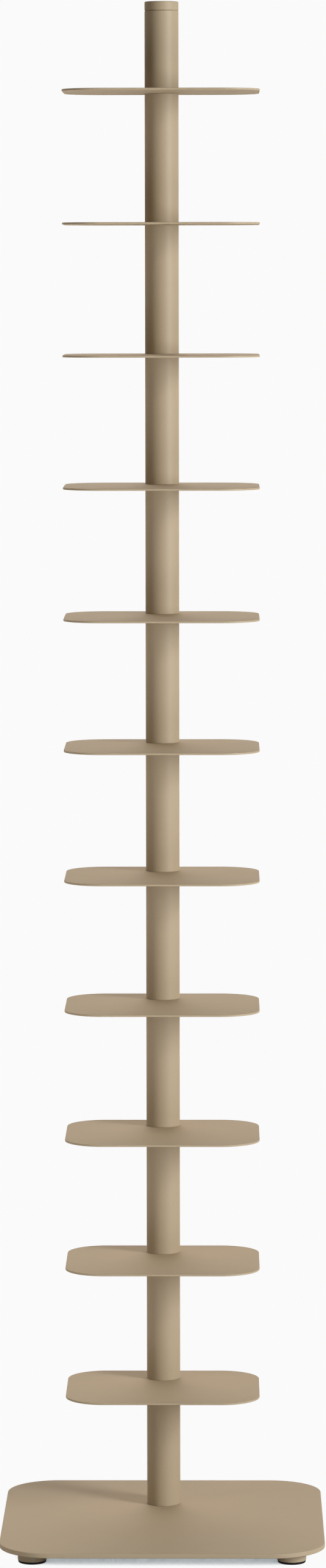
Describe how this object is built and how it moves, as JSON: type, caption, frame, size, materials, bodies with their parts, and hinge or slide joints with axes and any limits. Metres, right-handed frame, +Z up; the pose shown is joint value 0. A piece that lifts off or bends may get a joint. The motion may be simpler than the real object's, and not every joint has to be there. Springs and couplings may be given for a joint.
{
  "type": "spine bookshelf",
  "caption": "Free-standing book tower: thin rounded shelf plates clamped along a round column that stands towards the back of a square base plate on levelling feet.",
  "frame": {"origin": "on the floor under the middle of the square base plate, feet fully screwed in", "axes": "+Z up along the column, -Y the front where the books go, +X to the right seen from the front; the column's axis is at x = 0, y = +0.064"},
  "size_m": [0.35, 0.35, 1.6682],
  "materials": {
    "powder_coat": "satin fine-texture powder coat, warm tan",
    "zinc_steel": "zinc plated",
    "joiner_nylon": "turned black nylon",
    "sole_rubber": "moulded black rubber"
  },
  "bodies": {
    "tower": {"base_plate": "powder_coat", "base_spigot": "joiner_nylon", "column_tube_01": "powder_coat", "shelf_01": "powder_coat", "column_joiner_01": "joiner_nylon", "column_tube_02": "powder_coat", "shelf_02": "powder_coat", "column_joiner_02": "joiner_nylon", "column_tube_03": "powder_coat", "shelf_03": "powder_coat", "column_joiner_03": "joiner_nylon", "column_tube_04": "powder_coat", "shelf_04": "powder_coat", "column_joiner_04": "joiner_nylon", "column_tube_05": "powder_coat", "shelf_05": "powder_coat", "column_joiner_05": "joiner_nylon", "column_tube_06": "powder_coat", "shelf_06": "powder_coat", "column_joiner_06": "joiner_nylon", "column_tube_07": "powder_coat", "shelf_07": "powder_coat", "column_joiner_07": "joiner_nylon", "column_tube_08": "powder_coat", "shelf_08": "powder_coat", "column_joiner_08": "joiner_nylon", "column_tube_09": "powder_coat", "shelf_09": "powder_coat", "column_joiner_09": "joiner_nylon", "column_tube_10": "powder_coat", "shelf_10": "powder_coat", "column_joiner_10": "joiner_nylon", "column_tube_11": "powder_coat", "shelf_11": "powder_coat", "column_joiner_11": "joiner_nylon", "column_tube_12": "powder_coat", "column_cap": "powder_coat", "tie_rod_1": "zinc_steel", "tie_rod_2": "zinc_steel", "tie_rod_3": "zinc_steel", "rod_coupling_1": "zinc_steel", "rod_coupling_2": "zinc_steel", "base_washer": "zinc_steel", "base_nut": "zinc_steel", "foot_stud_1": "zinc_steel", "foot_stud_2": "zinc_steel", "foot_stud_3": "zinc_steel", "foot_stud_4": "zinc_steel"},
    "sole_1": {"foot_sole_1": "sole_rubber"},
    "disc_1": {"foot_disc_1": "powder_coat"},
    "sole_2": {"foot_sole_2": "sole_rubber"},
    "disc_2": {"foot_disc_2": "powder_coat"},
    "sole_3": {"foot_sole_3": "sole_rubber"},
    "disc_3": {"foot_disc_3": "powder_coat"},
    "sole_4": {"foot_sole_4": "sole_rubber"},
    "disc_4": {"foot_disc_4": "powder_coat"}
  },
  "joints": [
    {"name": "foot_1_drop", "type": "slide", "parent": "tower", "child": "sole_1", "axis": [0, 0, -1], "range_m": [0, 0.004]},
    {"name": "foot_1_turn", "type": "hinge", "parent": "sole_1", "child": "disc_1", "pos_m": [-0.139, -0.139, 0.012], "axis": [0, 0, -1], "range_deg": [0, 1152]},
    {"name": "foot_2_drop", "type": "slide", "parent": "tower", "child": "sole_2", "axis": [0, 0, -1], "range_m": [0, 0.004]},
    {"name": "foot_2_turn", "type": "hinge", "parent": "sole_2", "child": "disc_2", "pos_m": [0.139, -0.139, 0.012], "axis": [0, 0, -1], "range_deg": [0, 1152]},
    {"name": "foot_3_drop", "type": "slide", "parent": "tower", "child": "sole_3", "axis": [0, 0, -1], "range_m": [0, 0.004]},
    {"name": "foot_3_turn", "type": "hinge", "parent": "sole_3", "child": "disc_3", "pos_m": [-0.139, 0.139, 0.012], "axis": [0, 0, -1], "range_deg": [0, 1152]},
    {"name": "foot_4_drop", "type": "slide", "parent": "tower", "child": "sole_4", "axis": [0, 0, -1], "range_m": [0, 0.004]},
    {"name": "foot_4_turn", "type": "hinge", "parent": "sole_4", "child": "disc_4", "pos_m": [0.139, 0.139, 0.012], "axis": [0, 0, -1], "range_deg": [0, 1152]}
  ],
  "couplings": [
    {"joint": "foot_1_turn", "follows": "foot_1_drop", "rad_per_m": 5026.5},
    {"joint": "foot_2_turn", "follows": "foot_2_drop", "rad_per_m": 5026.5},
    {"joint": "foot_3_turn", "follows": "foot_3_drop", "rad_per_m": 5026.5},
    {"joint": "foot_4_turn", "follows": "foot_4_drop", "rad_per_m": 5026.5}
  ]
}
